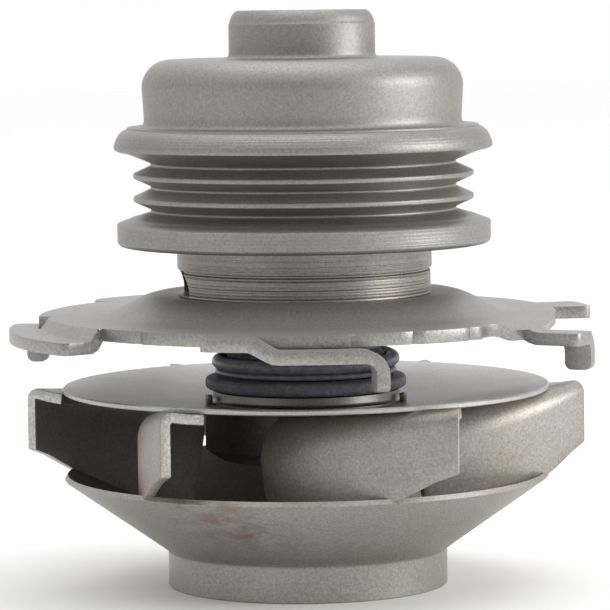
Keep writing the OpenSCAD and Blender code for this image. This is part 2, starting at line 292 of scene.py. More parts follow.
# the drain slot is cut with a flattened round bar that lies across the wall
angle, halfWidth, rise = s["slot"]
bpy.ops.object.select_all(action="DESELECT")
bpy.ops.mesh.primitive_cylinder_add(vertices=64, radius=halfWidth * mm, depth=9 * mm,
                                    location=ringPoint(17.5, angle, s["slotFoot"] + 0.5) * mm,
                                    rotation=(math.radians(90), 0, math.radians(angle)))
slotCutter = bpy.context.active_object
bpy.ops.object.mode_set(mode="EDIT")
bpy.ops.mesh.select_all(action="SELECT")
bpy.ops.transform.resize(value=(1, 1, rise / halfWidth), orient_type="GLOBAL")
bpy.ops.mesh.bisect(plane_co=up * s["slotFoot"] * mm, plane_no=up, clear_inner=True, use_fill=True)
closeUp()
cut = bearingBody.modifiers.new("slot", "BOOLEAN")
cut.operation = "DIFFERENCE"
cut.solver = "EXACT"
cut.object = slotCutter
applyAll(bearingBody)
bpy.data.objects.remove(slotCutter)
soften(bearingBody, 0)
finishPiece(bearingBody, "housing", "turned_steel", "bearing_body")
report("body made")


# mounting plate

plateSizes = {
    "thickness": 1.9,
    "top": 42.2,
    "lugTop": 40.4,
    "rim": 38.8,
    "stopEnd": 34.2,
    "bendRadius": 3.6,
    "cornerRound": 1.1,
    "edgeRound": 0.22,
    "web": (-19.8, 9.3, 41.7),      # front lug: web's angles and radius
    "frontLug": (-19.5, -10.5, 46.3),
    "rightLug": (60, 67.5, 46.9),   # two angles and outer radius, as for each lug below
    "backRightLug": (96, 109.5, 45),
    "backLeftLug": (-150, -127.5, 46),
    "leftLug": (-85.5, -51, 45.8),
    "leftArm": -98.5,               # where the left lug's arm bends down
    "press": (63, 35.8, 4.4),       # right lug's step: angle, distance from the axis and width
    "scallop": (47.5, 42.2, 5),     # angle and radius of the centre, and its own radius
    "wideRim": (-126.2, -87, 2.4),
}
s = plateSizes
plate = startFrom("mountingPlate")
hill = [(17, 45.1), (19.9, 45.1), (21.2, 45.25), (22.4, 45.45), (23.6, 45.4), (24.6, 45.15), (25.6, 44.75),
        (27, 44.05), (28.3, 43.4), (29.6, 42.85), (31, 42.42), (32.5, 42.22), (34, s["top"]),
        (35.6, s["top"]), (36.9, s["top"]), (s["rim"], s["top"])]
drawLine([(r, 0, z) for r, z in hill])
bpy.ops.mesh.select_all(action="SELECT")
bpy.ops.mesh.spin(steps=240, angle=2 * math.pi, center=(0, 0, 0), axis=(0, 0, 1))
bpy.ops.mesh.select_all(action="SELECT")
bpy.ops.mesh.remove_doubles(threshold=0.002 * mm)


def onRing(r, a0, a1, z=None):
    # selects the plate's vertices at a radius between two angles
    def test(p):
        radius, angle = polar(p)
        return abs(radius - r) < 0.04 and a0 - 0.3 < angle < a1 + 0.3 and (z is None or abs(p.z - z) < 0.05)
    return vertsWhere(plate, test)


def extrudeOut(r, steps, z=plateSizes["top"]):
    # pulls the selected edge out to each radius, or to each (radius, height)
    for step in steps:
        newR, newZ = step if isinstance(step, tuple) else (step, z)
        bpy.ops.mesh.extrude_region_move(TRANSFORM_OT_translate={"value": up * (newZ - z) * mm})
        bpy.ops.transform.resize(value=(newR / r, newR / r, 1), center_override=(0, 0, 0))
        r, z = newR, newZ


def pullEdge(moves):
    # pulls the selected edge through a list of moves in millimetres
    for m in moves:
        bpy.ops.mesh.extrude_region_move(TRANSFORM_OT_translate={"value": Vector(m) * mm})


def bendDown(angle, side):
    # the moves of an edge that bends down into a stop, at an angle from the front
    a = math.radians(angle)
    along = Vector((math.cos(a), math.sin(a), 0)) * side
    moves = []
    radius = plateSizes["bendRadius"]
    for i in range(6):
        b0, b1 = math.radians(15 * i), math.radians(15 * (i + 1))
        moves.append((along * (math.sin(b1) - math.sin(b0)) - up * (math.cos(b0) - math.cos(b1))) * radius)
    drop = plateSizes["lugTop"] - radius - plateSizes["stopEnd"]
    moves += [-up * drop / 2, -up * drop / 2]
    return moves


def turnEdge(angle, drop):
    # pulls the selected radial edge round the axis by an angle in degrees and down
    bpy.ops.mesh.extrude_region_move(TRANSFORM_OT_translate={"value": (0, 0, -drop * mm)})
    turn = Matrix.Rotation(math.radians(angle), 3, "Z")
    reshape(plate, lambda p: turn @ p)


def shapeRim(p):
    # small nicks and steps along the rim, and the scallop before the right lug
    radius, angle = polar(p)
    if abs(radius - s["rim"]) > 0.02:
        return p
    grow = 0.0
    if -38 < angle < -20 or 25 < angle < 38:
        grow = 0.3
    if any(abs(angle - nick) < 0.3 for nick in (-39, 24, 39)):
        grow = -0.35
    first, last, wider = s["wideRim"]
    if first < angle < last:
        grow = wider
    place, centre, cut = s["scallop"]
    side = math.radians(angle - place)
    if abs(centre * math.sin(side)) < 0.92 * cut and abs(angle - place) < 5.4:
        grow = centre * math.cos(side) - math.sqrt(cut ** 2 - (centre * math.sin(side)) ** 2) - s["rim"]
    k = (radius + grow) / radius
    return Vector((p.x * k, p.y * k, p.z))


reshape(plate, shapeRim, every=True)

top, low = s["top"], s["lugTop"]

# front lug: a web behind a slit, a root in the plate's plane and an arm one sheet lower
webFrom, webTo, webRadius = s["web"]
vertsWhere(plate, lambda p: s["rim"] - 0.5 < polar(p)[0] and webFrom < polar(p)[1] < webTo)
extrudeOut(1, [webRadius / 38.95])
reshape(plate, lambda p: ringPoint(webRadius, polar(p)[1], top))
first, last, out = s["frontLug"]
onRing(webRadius, first, last)
extrudeOut(webRadius, [42.1, 44.2, out])
vertsWhere(plate, lambda p: polar(p)[0] > 42.0 and abs(polar(p)[1] - last) < 0.2)
for angle, drop in ((0.8, 0.03), (0.9, 0.3), (1.3, 0.57), (1.3, 0.57), (0.9, 0.3), (0.8, 0.03)):
    turnEdge(angle, drop)
for i in range(8):
    turnEdge(1.9, 0)
pullEdge(bendDown(11, 1))


def pressDown(p):
    # the sheet is pressed down across a straight line in front of the lug
    radius, angle = polar(p)
    if radius < 33 or not 36 < angle < 90:
        return p
    place, start, width = s["press"]
    reach = radius * math.cos(math.radians(angle - place))
    return p - up * (top - low) * eased(share(reach, start, start + width))


# right lug and its stop
first, last, out = s["rightLug"]
onRing(s["rim"], first, last)
extrudeOut(s["rim"], [39.4, 40, 40.6, 41.2, 41.8, 46.0, out])
reshape(plate, pressDown, every=True)
vertsWhere(plate, lambda p: 41.7 < polar(p)[0] < 46.1 and abs(polar(p)[1] - last) < 0.2
           and abs(p.z - low) < 0.02)
pullEdge(bendDown(last + 1, 1))

# lugs in the plate's plane
for lug in ("backRightLug", "backLeftLug"):
    first, last, out = s[lug]
    onRing(s["rim"], first, last)
    extrudeOut(s["rim"], [42, out])


def roundOff(p):
    # the back left lug's left corner is cut round
    radius, angle = polar(p)
    if radius < 41.9 or not -137 < angle < -127.2:
        return p
    k = math.sqrt(max(1 - min(1 - (last - angle) / 9.5, 1) ** 2, 0.03))
    return ringPoint(41.4 + (radius - 41.4) * k, angle, top)


reshape(plate, roundOff, every=True)

# left lug, its arm and its stop
first, last, out = s["leftLug"]
onRing(s["rim"], first, last)
extrudeOut(s["rim"], [39.5, (39.75, top - 0.12), (40.85, low + 0.12), (41.1, low), (41.3, low),
                      (44.6, low), (out, low)])
vertsWhere(plate, lambda p: polar(p)[0] > 41.25 and abs(polar(p)[1] - first) < 0.2)
turns = 5
for i in range(turns):
    turnEdge((s["leftArm"] - first) / turns, 0)
vertsWhere(plate, lambda p: 41.25 < polar(p)[0] < 44.7 and abs(polar(p)[1] - s["leftArm"]) < 0.2)
pullEdge(bendDown(s["leftArm"] - 0.5, -1))

# plan corners are rounded, then the sheet gets its thickness
def corner(lug, end, z):
    return s[lug][2], s[lug][end], z


corners = [corner("frontLug", 0, top), corner("backRightLug", 0, top), corner("backRightLug", 1, top),
           corner("backLeftLug", 0, top), corner("rightLug", 0, low), corner("rightLug", 1, low),
           corner("leftLug", 1, low), (s["leftLug"][2], s["leftArm"], low)]


def isCorner(p):
    radius, angle = polar(p)
    near = any(abs(radius - r) < 0.06 and abs(angle - a) < 0.25 and abs(p.z - z) < 0.05
               for r, a, z in corners)
    return near or p.z < plateSizes["stopEnd"] + 0.05


vertsWhere(plate, isCorner)
bpy.ops.mesh.bevel(offset=s["cornerRound"] * mm, segments=4, affect="VERTICES")
bpy.ops.mesh.select_all(action="SELECT")
bpy.ops.mesh.normals_make_consistent(inside=False)
bpy.ops.object.mode_set(mode="OBJECT")
if sum(f.normal.z * f.area for f in plate.data.polygons) < 0:
    plate.data.flip_normals()
thicken(plate, s["thickness"])
soften(plate, s["edgeRound"], 2, 40, 40)
finishPiece(plate, "housing", "stamped_steel", "mounting_plate")
report("mounting plate made")


# shaft seal

sealSizes = {
    "coilRadius": 13.55,
    "wire": 1.05,
    "coilLow": 34.8,
    "coilHigh": 40.15,
    "turns": 2.5,
    "coilStart": 200,        # degrees from the front
    "tabSize": (1.8, 0.8, 1.4),
    "tabs": (-75, 75),
}
s = sealSizes
spring = startFrom("sealSpring")
coil = []
count = 120
for i in range(count + 1):
    k = i / count
    height = s["coilLow"] + (s["coilHigh"] - s["coilLow"]) * eased(share(k, 0.2, 0.8))
    coil.append(ringPoint(s["coilRadius"], s["coilStart"] + 360 * s["turns"] * k, height))
drawLine(coil)
bpy.ops.object.mode_set(mode="OBJECT")
bpy.ops.object.select_all(action="DESELECT")
spring.select_set(True)
bpy.context.view_layer.objects.active = spring
bpy.ops.object.convert(target="CURVE")
spring = bpy.context.object
spring.data.bevel_depth = s["wire"] * mm
spring.data.bevel_resolution = 5
spring.data.use_fill_caps = True
bpy.ops.object.convert(target="MESH")
spring = bpy.context.object
bpy.ops.object.mode_set(mode="EDIT")
closeUp(0.0005)
soften(spring, 0)
finishPiece(spring, "housing", "black_steel", "seal_spring")

collar = turned("springCollar", [
    (11.4, 32.86), (13.8, 32.86), (14.1, 33.1), (14.1, 33.5), (13.8, 33.75), (11.4, 33.75)],
    edge=0.1, steps=112)
finishPiece(collar, "housing", "black_steel", "spring_collar")

boot = turned("seatBoot", [
    (10.5, 29), (13.75, 29), (13.75, 30.45), (14.7, 30.5), (15.2, 30.65), (15.5, 30.9), (15.6, 31.25),
    (15.6, 31.9), (15.5, 32.2), (15.25, 32.4), (14.9, 32.5), (13.2, 32.5), (13.2, 29.9),
    (10.5, 29.9)], edge=0, steps=128)
finishPiece(boot, "rotor", "seal_rubber", "seat_boot")

seatCup = turned("seatCup", [
    (10.5, 28.5), (15, 28.5), (15, 28.7), (14.65, 28.95), (14.5, 29.3), (14.48, 30.0), (14.42, 30.25),
    (14.25, 30.4), (14.05, 30.4), (13.88, 30.25), (13.8, 30.0), (13.8, 29.0),
    (10.5, 29.0)], edge=0, steps=128)
tabs = []
for angle in s["tabs"]:
    bpy.ops.object.select_all(action="DESELECT")
    bpy.ops.mesh.primitive_cube_add(size=1, location=ringPoint(15.5, angle, 29.25) * mm,
                                    rotation=(0, 0, math.radians(angle)), scale=Vector(s["tabSize"]) * mm)
    tab = bpy.context.object
    bpy.ops.object.transform_apply(location=True, rotation=True, scale=True)
    bpy.ops.object.mode_set(mode="EDIT")
    bpy.ops.mesh.select_all(action="SELECT")
    bpy.ops.mesh.bevel(offset=0.18 * mm, segments=2)
    closeUp(0.0005)
    tabs.append(tab)
bpy.ops.object.select_all(action="DESELECT")
for piece in [seatCup, *tabs]:
    piece.select_set(True)
bpy.context.view_layer.objects.active = seatCup
bpy.ops.object.join()
soften(seatCup, 0)
finishPiece(seatCup, "rotor", "plated_steel", "seat_cup")
report("seal made")


# impeller

diskSizes = {"rim": 37.7, "top": 31.1, "sheet": 0.8, "slope": 0.12, "flat": 16, "hole": 10.5}
s = diskSizes
dish = s["top"] - (s["rim"] - s["flat"]) * s["slope"]
backPlate = turned("backPlate", [
    (s["hole"], dish - s["sheet"]), (s["flat"], dish - s["sheet"]), (s["rim"] - 0.15, s["top"] - s["sheet"]),
    (s["rim"], s["top"] - s["sheet"] + 0.15), (s["rim"], s["top"] - 0.2), (s["rim"] - 0.2, s["top"]),
    (s["flat"] + 1.2, dish + 0.12), (s["flat"] - 0.8, dish), (s["hole"], dish)], edge=0, steps=180)
finishPiece(backPlate, "rotor", "stamped_steel", "back_plate")

shroudSizes = {"neck": 21.7, "neckHeight": 5.6, "rim": 37.6, "rimHeight": 16.85, "sheet": 0.95}
s = shroudSizes
coneSlope = (s["rimHeight"] - s["neckHeight"]) / (s["rim"] - s["neck"])
lean = math.atan(coneSlope)
rimIn = (s["rim"] - s["sheet"] * math.sin(lean), s["rimHeight"] + s["sheet"] * math.cos(lean))
neckIn = s["neck"] - s["sheet"]


def shroudTop(r):
    # height of the shroud's inner face at a radius
    return rimIn[1] - coneSlope * (rimIn[0] - r)


shroud = turned("shroud", [
    (neckIn + 0.2, 0), (s["neck"] - 0.15, 0), (s["neck"], 0.15), (s["neck"], s["neckHeight"] - 0.35),
    (s["neck"] + 0.06, s["neckHeight"] - 0.1), (s["neck"] + 0.22, s["neckHeight"] + 0.12),
    (s["neck"] + 1.2, s["neckHeight"] + 1.2 * coneSlope), (s["rim"] - 0.12, s["rimHeight"] - 0.1),
    (s["rim"], s["rimHeight"] + 0.06), (rimIn[0] + 0.1, rimIn[1] - 0.04), (rimIn[0] - 0.1, rimIn[1] - 0.06),
    (neckIn + 1.0, shroudTop(neckIn + 1.0)), (neckIn + 0.25, shroudTop(neckIn) - 0.05),
    (neckIn, shroudTop(neckIn) - 0.6), (neckIn, 0.2)], edge=0, steps=180)
finishPiece(shroud, "rotor", "stamped_steel", "shroud")

hub = turned("impellerHub", [
    (7.96, 19.8), (8.2, 19.6), (12.9, 19.6), (13.5, 19.75), (15.3, 20.9), (15.6, 21.2), (15.7, 21.6),
    (15.7, dish - 0.8), (10.5, dish - 0.8), (10.5, 29.2), (10.3, 29.4), (7.96, 29.4)], edge=0, steps=112)
finishPiece(hub, "rotor", "ground_steel", "impeller_hub")

vaneSizes = {
    "sheet": 1.6,
    "rho": 46.8,               # outer radius of the curve in plan
    "centre": (21.4, -18.45),
    "tip": -24.4,              # angles along the curve, in degrees
    "innerEnd": 16,
    "innerFoot": 13,
    "flange": 7.0,
    "foldTip": 1.9,
    "foldInner": 6.8,
    "tipSlope": 0.6,           # rise of the lower edge outside the shroud
    "edgeRound": 0.2,
    "columns": 30,
    "rows": 4,
    "foldSteps": 8,
}
s = vaneSizes
curveCentre = Vector((*s["centre"], 0))


def onCurve(angle, r):
    a = math.radians(angle)
    return curveCentre + Vector((-math.cos(a), math.sin(a), 0)) * r


def underDisk(p):
    # height of the back plate's lower face over a point
    d = diskSizes
    return d["top"] - d["sheet"] - d["slope"] * (d["rim"] - math.hypot(p.x, p.y))


def foot(p, q):
    # height of the lower edge, between the wall's two faces p and q
    r = min(math.hypot(p.x, p.y), math.hypot(q.x, q.y))
    past = r - rimIn[0]
    if past <= 0:
        return shroudTop(r)
    r += (math.hypot(p.x, p.y) - r) * min(past / 3, 1)
    return rimIn[1] + (r - rimIn[0]) * vaneSizes["tipSlope"]


def foldAt(angle):
    # the fold's radius, which opens out from the tip to the inner end
    s = vaneSizes
    return s["foldTip"] + (s["foldInner"] - s["foldTip"]) * share(angle, s["tip"], s["innerEnd"])


def curveAngle(p):
    # the angle along the vane's curve of a point in millimetres
    return math.degrees(math.atan2(p.y - curveCentre.y, curveCentre.x - p.x))


def onWall(p, k):
    # a wall point's place, k of the way from the fold to the lower edge
    s = vaneSizes
    angle = curveAngle(p)
    outer = onCurve(angle, s["rho"])
    start = underDisk(outer) - foldAt(angle)
    end = foot(outer, onCurve(angle, s["rho"] - s["sheet"]))
    # the inner end leans back toward its foot
    back = max(0, angle - 8) / (s["innerEnd"] - 8) * (s["innerEnd"] - s["innerFoot"]) * 0.25
    q = onCurve(angle - back, s["rho"])
    return Vector((q.x, q.y, start + (end - start) * k))


def onFold(p, step):
    # a top edge's place after so many steps round the fold and along the flange
    s = vaneSizes
    angle = curveAngle(p)
    fold = foldAt(angle)
    turn = math.radians(90 * min(step, s["foldSteps"]) / s["foldSteps"])
    r = s["rho"] - fold * (1 - math.cos(turn))
    z = underDisk(onCurve(angle, s["rho"])) - fold * (1 - math.sin(turn))
    if step > s["foldSteps"]:
        r -= (max(s["flange"], fold + 1.4) - fold) * (step - s["foldSteps"]) / 2
        z = underDisk(onCurve(angle, r))
    q = onCurve(angle, r)
    return Vector((q.x, q.y, z))


def makeVane():
    piece = startFrom("vane")
    s = vaneSizes
    top = []
    for i in range(s["columns"] + 1):
        a = s["tip"] + (s["innerEnd"] - s["tip"]) * i / s["columns"]
        p = onCurve(a, s["rho"])
        top.append(Vector((p.x, p.y, underDisk(p) - foldAt(a))))
    drawLine(top)
    # the wall is pulled down in rows, each vertex set to its own part of the height
    bpy.ops.mesh.select_all(action="SELECT")
    for row in range(1, s["rows"] + 1):
        bpy.ops.mesh.extrude_region_move(TRANSFORM_OT_translate={"value": (0, 0, -2 * mm)})
        reshape(piece, lambda p: onWall(p, row / s["rows"]))
    # the fold and then the flange are pulled up and in toward the curve's centre
    vertsWhere(piece, lambda p: any((p - q).length < 0.01 for q in top))
    for step in range(1, s["foldSteps"] + 3):
        bpy.ops.mesh.extrude_region_move(TRANSFORM_OT_translate={"value": (0, 0, 0)})
        reshape(piece, lambda p: onFold(p, step))
    bpy.ops.mesh.select_all(action="SELECT")
    bpy.ops.mesh.normals_make_consistent(inside=False)
    bpy.ops.object.mode_set(mode="OBJECT")
    # the outer face looks away from the curve's centre
    probe = piece.data.polygons[0]
    if probe.normal.dot(Vector(probe.center) - curveCentre * mm) < 0:
        piece.data.flip_normals()
    thicken(piece, s["sheet"])
    soften(piece, s["edgeRound"], 2, 40, 40)
    return piece


vaneCount = 6
vanes = [makeVane()]
for k in range(1, vaneCount):
    bpy.ops.object.select_all(action="DESELECT")
    vanes[0].select_set(True)
    bpy.context.view_layer.objects.active = vanes[0]
    bpy.ops.object.duplicate(linked=False)
    other = bpy.context.object
    other.data.transform(Matrix.Rotation(2 * math.pi * k / vaneCount, 4, "Z"))
    vanes.append(other)
for k, piece in enumerate(vanes):
    piece.name = f"vane{k + 1}"
    finishPiece(piece, "rotor", "vane_steel", f"vane_{k + 1}")
report("impeller made")


# finishes

numberSocket, colourSocket, vectorSocket = "NodeSocketFloat", "NodeSocketColor", "NodeSocketVector"


def newGroup(name, inputs, outputs):
    # inputs give each socket's first value, outputs each socket's kind
    group = bpy.data.node_groups.new(name, "ShaderNodeTree")
    for label, value in inputs.items():
        kind = numberSocket
        if isinstance(value, tuple):
            kind = colourSocket if len(value) == 4 else vectorSocket
        group.interface.new_socket(name=label, in_out="INPUT", socket_type=kind).default_value = value
    for label, kind in outputs.items():
        group.interface.new_socket(name=label, in_out="OUTPUT", socket_type=kind)
    return group


def add(tree, kind, inputs=None, **settings):
    # a node with its settings; inputs are values or sockets to link from
    node = tree.nodes.new(kind)
    for key, value in settings.items():
        setattr(node, key, value)
    for key, value in (inputs or {}).items():
        socket = node.inputs[key]
        if isinstance(value, bpy.types.NodeSocket):
            tree.links.new(value, socket)
        else:
            socket.default_value = value
    return node


def mathNode(tree, operation, a, b=0.0, clamp=False):
    return add(tree, "ShaderNodeMath", {0: a, 1: b}, operation=operation, use_clamp=clamp).outputs[0]


def remap(tree, value, low, high, toLow, toHigh):
    return add(tree, "ShaderNodeMapRange", {"Value": value, "From Min": low, "From Max": high,
                                            "To Min": toLow, "To Max": toHigh}).outputs["Result"]


def mixColours(tree, factor, a, b, blend="MIX"):
    return add(tree, "ShaderNodeMix", {0: factor, 6: a, 7: b}, data_type="RGBA", blend_type=blend).outputs[2]


def darken(tree, colour, factor):
    gray = add(tree, "ShaderNodeCombineXYZ", {0: factor, 1: factor, 2: factor}).outputs[0]
    return mixColours(tree, 1.0, colour, gray, "MULTIPLY")


def makeBlastedSkin():
    # the fine pits, speckle and broad tint of bead-blasted steel
    g = newGroup("blastedSkin", {"Steel": (0.4, 0.38, 0.35, 1), "Tint": (0.42, 0.36, 0.30, 1), "Grain": 1.0,
                                 "Mottle": 0.5, "Roughness": 0.5},
                 {"Colour": colourSocket, "Roughness": numberSocket, "Height": numberSocket})
    i = add(g, "NodeGroupInput")
    o = add(g, "NodeGroupOutput")
    place = add(g, "ShaderNodeTexCoord").outputs["Object"]
    pits = add(g, "ShaderNodeTexNoise", {"Vector": place, "Scale": 2600.0, "Detail": 2.0, "Roughness": 0.6})
    speck = add(g, "ShaderNodeTexVoronoi", {"Vector": place, "Scale": 1500.0})
    broad = add(g, "ShaderNodeTexNoise", {"Vector": place, "Scale": 55.0, "Detail": 3.0, "Roughness": 0.55})
    fineSpots = remap(g, pits.outputs["Fac"], 0.3, 0.7, 0.72, 1.28)
    bright = remap(g, speck.outputs["Distance"], 0.0, 0.28, 1.0, 0.0)
    grain = mathNode(g, "SUBTRACT", fineSpots, 1.0)
    grain = mathNode(g, "MULTIPLY", grain, i.outputs["Grain"])
    grain = mathNode(g, "ADD", grain, 1.0)
    tinted = remap(g, broad.outputs["Fac"], 0.35, 0.68, 0.0, 1.0)
    tinted = mathNode(g, "MULTIPLY", tinted, i.outputs["Mottle"])
    colour = mixColours(g, tinted, i.outputs["Steel"], i.outputs["Tint"])
    colour = darken(g, colour, grain)
    flecks = mathNode(g, "MULTIPLY", mathNode(g, "MULTIPLY", bright, 0.16), i.outputs["Grain"])
    colour = mixColours(g, flecks, colour, (0.8, 0.79, 0.77, 1))
    g.links.new(colour, o.inputs["Colour"])
    uneven = mathNode(g, "MULTIPLY", mathNode(g, "SUBTRACT", broad.outputs["Fac"], 0.5), 0.16)
    rough = mathNode(g, "ADD", i.outputs["Roughness"], uneven)
    g.links.new(rough, o.inputs["Roughness"])
    height = mathNode(g, "ADD", pits.outputs["Fac"], mathNode(g, "MULTIPLY", speck.outputs["Distance"], 0.6))
    g.links.new(height, o.inputs["Height"])
    return g


def makeTurningLines():
    # lines round the shaft's axis, which change with height only
    g = newGroup("turningLines", {"Pitch": 1.0, "Colour": (0.5, 0.5, 0.5, 1), "Depth": 0.2},
                 {"Colour": colourSocket, "Height": numberSocket})
    i = add(g, "NodeGroupInput")
    o = add(g, "NodeGroupOutput")
    place = add(g, "ShaderNodeTexCoord").outputs["Object"]
    parts = add(g, "ShaderNodeSeparateXYZ", {0: place})
    fine = mathNode(g, "MULTIPLY", parts.outputs["Z"], mathNode(g, "MULTIPLY", i.outputs["Pitch"], 3000.0))
    lines = add(g, "ShaderNodeTexNoise", {"W": fine, "Scale": 1.0, "Detail": 2.0}, noise_dimensions="1D")
    wander = add(g, "ShaderNodeTexNoise", {"Vector": place, "Scale": 160.0, "Detail": 2.0})
    mask = mathNode(g, "MULTIPLY", remap(g, lines.outputs["Fac"], 0.32, 0.68, 0.0, 1.0),
                    remap(g, wander.outputs["Fac"], 0.3, 0.62, 0.35, 1.0), clamp=True)
    shade = remap(g, mask, 0.0, 1.0, 1.0, 0.0)
    dark = mathNode(g, "SUBTRACT", 1.0, mathNode(g, "MULTIPLY", shade, i.outputs["Depth"]))
    g.links.new(darken(g, i.outputs["Colour"], dark), o.inputs["Colour"])
    g.links.new(mask, o.inputs["Height"])
    return g


def makeStain():
    # a soft rusty patch about one place on the shroud
    g = newGroup("rustStain", {"Colour": (0.5, 0.5, 0.5, 1), "Rust": (0.2, 0.09, 0.05, 1),
                               "Centre": (0, 0, 0), "Reach": 0.012, "Strength": 0.5},
                 {"Colour": colourSocket})
    i = add(g, "NodeGroupInput")
    o = add(g, "NodeGroupOutput")
    place = add(g, "ShaderNodeTexCoord").outputs["Object"]
    away = add(g, "ShaderNodeVectorMath", {0: place, 1: i.outputs["Centre"]}, operation="DISTANCE")
    near = mathNode(g, "DIVIDE", away.outputs["Value"], i.outputs["Reach"])
    near = mathNode(g, "SUBTRACT", 1.0, near, clamp=True)
    patch = add(g, "ShaderNodeTexNoise", {"Vector": place, "Scale": 260.0, "Detail": 4.0, "Roughness": 0.6})
    mask = mathNode(g, "MULTIPLY", near, remap(g, patch.outputs["Fac"], 0.42, 0.66, 0.0, 1.0), clamp=True)
    mask = mathNode(g, "MULTIPLY", mask, i.outputs["Strength"])
    g.links.new(mixColours(g, mask, i.outputs["Colour"], i.outputs["Rust"]), o.inputs["Colour"])
    return g


def makeMoulded():
    # rubber, carbon, plastic and black steel: a deep colour under a patchy dusty one
    g = newGroup("mouldedSkin", {"Deep": (0.1, 0.1, 0.1, 1), "Dusty": (0.2, 0.2, 0.2, 1), "Scale": 1000.0,
                                 "Roughness": 0.5},
                 {"Colour": colourSocket, "Roughness": numberSocket, "Height": numberSocket})
    i = add(g, "NodeGroupInput")
    o = add(g, "NodeGroupOutput")
    place = add(g, "ShaderNodeTexCoord").outputs["Object"]
    fine = add(g, "ShaderNodeTexNoise", {"Vector": place, "Scale": i.outputs["Scale"], "Detail": 4.0,
                                         "Roughness": 0.6}).outputs["Fac"]
    dust = add(g, "ShaderNodeTexNoise", {"Vector": place, "Scale": 220.0, "Detail": 3.0}).outputs["Fac"]
    mask = mathNode(g, "MULTIPLY", remap(g, fine, 0.4, 0.7, 0.0, 1.0),
                    remap(g, dust, 0.35, 0.7, 0.3, 1.0), clamp=True)
    g.links.new(mixColours(g, mask, i.outputs["Deep"], i.outputs["Dusty"]), o.inputs["Colour"])
    rough = mathNode(g, "ADD", i.outputs["Roughness"], remap(g, fine, 0.3, 0.7, -0.08, 0.08))
    g.links.new(rough, o.inputs["Roughness"])
    g.links.new(fine, o.inputs["Height"])
    return g


blastedSkin = makeBlastedSkin()
turningLines = makeTurningLines()
rustStain = makeStain()
mouldedSkin = makeMoulded()


def placeGroup(tree, group, inputs):
    return add(tree, "ShaderNodeGroup", inputs, node_tree=group)


def startMaterial(name, metallic):
    material = bpy.data.materials.new(name)
    material.use_nodes = True
    shader = material.node_tree.nodes["Principled BSDF"]
    shader.inputs["Metallic"].default_value = metallic
    return material, material.node_tree, shader


def joinUp(tree, shader, skin, colour, height, bump, depth):
    # bump is the strength of the bumps and depth their height, in metres
    tree.links.new(colour, shader.inputs["Base Color"])
    tree.links.new(skin.outputs["Roughness"], shader.inputs["Roughness"])
    node = add(tree, "ShaderNodeBump", {"Strength": bump, "Distance": depth, "Height": height})
    tree.links.new(node.outputs["Normal"], shader.inputs["Normal"])


def steelFinish(name, steel, tint, roughness, metallic=1.0, lines=None, pitch=1.0, mottle=0.5, grain=1.0,
                bump=0.25, stains=()):
    # blasted or turned steel, with stains where the piece has them
    material, tree, shader = startMaterial(name, metallic)
    shader.inputs["Specular IOR Level"].default_value = 0.5
    skin = placeGroup(tree, blastedSkin, {"Steel": (*steel, 1), "Tint": (*tint, 1), "Grain": grain,
                                          "Mottle": mottle, "Roughness": roughness})
    colour, height = skin.outputs["Colour"], skin.outputs["Height"]
    if lines:
        marks = placeGroup(tree, turningLines, {"Pitch": pitch, "Colour": colour, "Depth": lines})
        colour = marks.outputs["Colour"]
        height = mathNode(tree, "ADD", mathNode(tree, "MULTIPLY", height, 0.5),
                          mathNode(tree, "MULTIPLY", marks.outputs["Height"], 1.6))
    for centre, reach, strength in stains:
        colour = placeGroup(tree, rustStain, {"Colour": colour, "Rust": (*rust, 1), "Centre": centre,
                                              "Reach": reach, "Strength": strength}).outputs["Colour"]
    joinUp(tree, shader, skin, colour, height, bump, 0.00006)
    return material


def darkFinish(name, deep, dusty, scale, roughness, bump):
    material, tree, shader = startMaterial(name, 0.0)
    skin = placeGroup(tree, mouldedSkin, {"Deep": (*deep, 1), "Dusty": (*dusty, 1), "Scale": scale,
                                          "Roughness": roughness})
    joinUp(tree, shader, skin, skin.outputs["Colour"], skin.outputs["Height"], bump, 0.00008)
    return material


rust = (0.20, 0.10, 0.06)
drawnSteel = steelFinish("drawnSteel", steel=(0.31, 0.30, 0.283), tint=(0.295, 0.275, 0.25),
                         roughness=0.5, mottle=0.35, grain=0.5)
turnedSteel = steelFinish("turnedSteel", steel=(0.31, 0.30, 0.285), tint=(0.295, 0.272, 0.24),
                          roughness=0.47, lines=0.07, grain=0.5)
bodySteel = steelFinish("bodySteel", steel=(0.34, 0.325, 0.305), tint=(0.31, 0.27, 0.225), metallic=0.9,
                        roughness=0.42, lines=0.22, pitch=0.7, mottle=0.7, grain=0.6, bump=0.28)
stampedSteel = steelFinish("stampedSteel", steel=(0.325, 0.31, 0.306), tint=(0.31, 0.286, 0.277),
                           metallic=0.65, roughness=0.5, mottle=0.7, grain=0.6, bump=0.22)
shearedSteel = steelFinish("shearedSteel", steel=(0.36, 0.347, 0.33), tint=(0.28, 0.262, 0.245),
                           roughness=0.42, mottle=0.7, grain=0.75, bump=0.5)
vaneEdges = steelFinish("vaneEdges", steel=(0.50, 0.48, 0.455), tint=(0.38, 0.345, 0.31),
                        roughness=0.42, mottle=0.8, bump=0.6)
diskSteel = steelFinish("diskSteel", steel=(0.46, 0.455, 0.445), tint=(0.43, 0.42, 0.40),
                        roughness=0.44, mottle=0.4, grain=0.45, bump=0.18)
vaneSteel = steelFinish("vaneSteel", steel=(0.35, 0.33, 0.305), tint=(0.30, 0.257, 0.22), metallic=0.72,
                        roughness=0.42, mottle=0.8, grain=0.7,
                        stains=[((-0.012, -0.034, 0.022), 0.016, 0.35)])
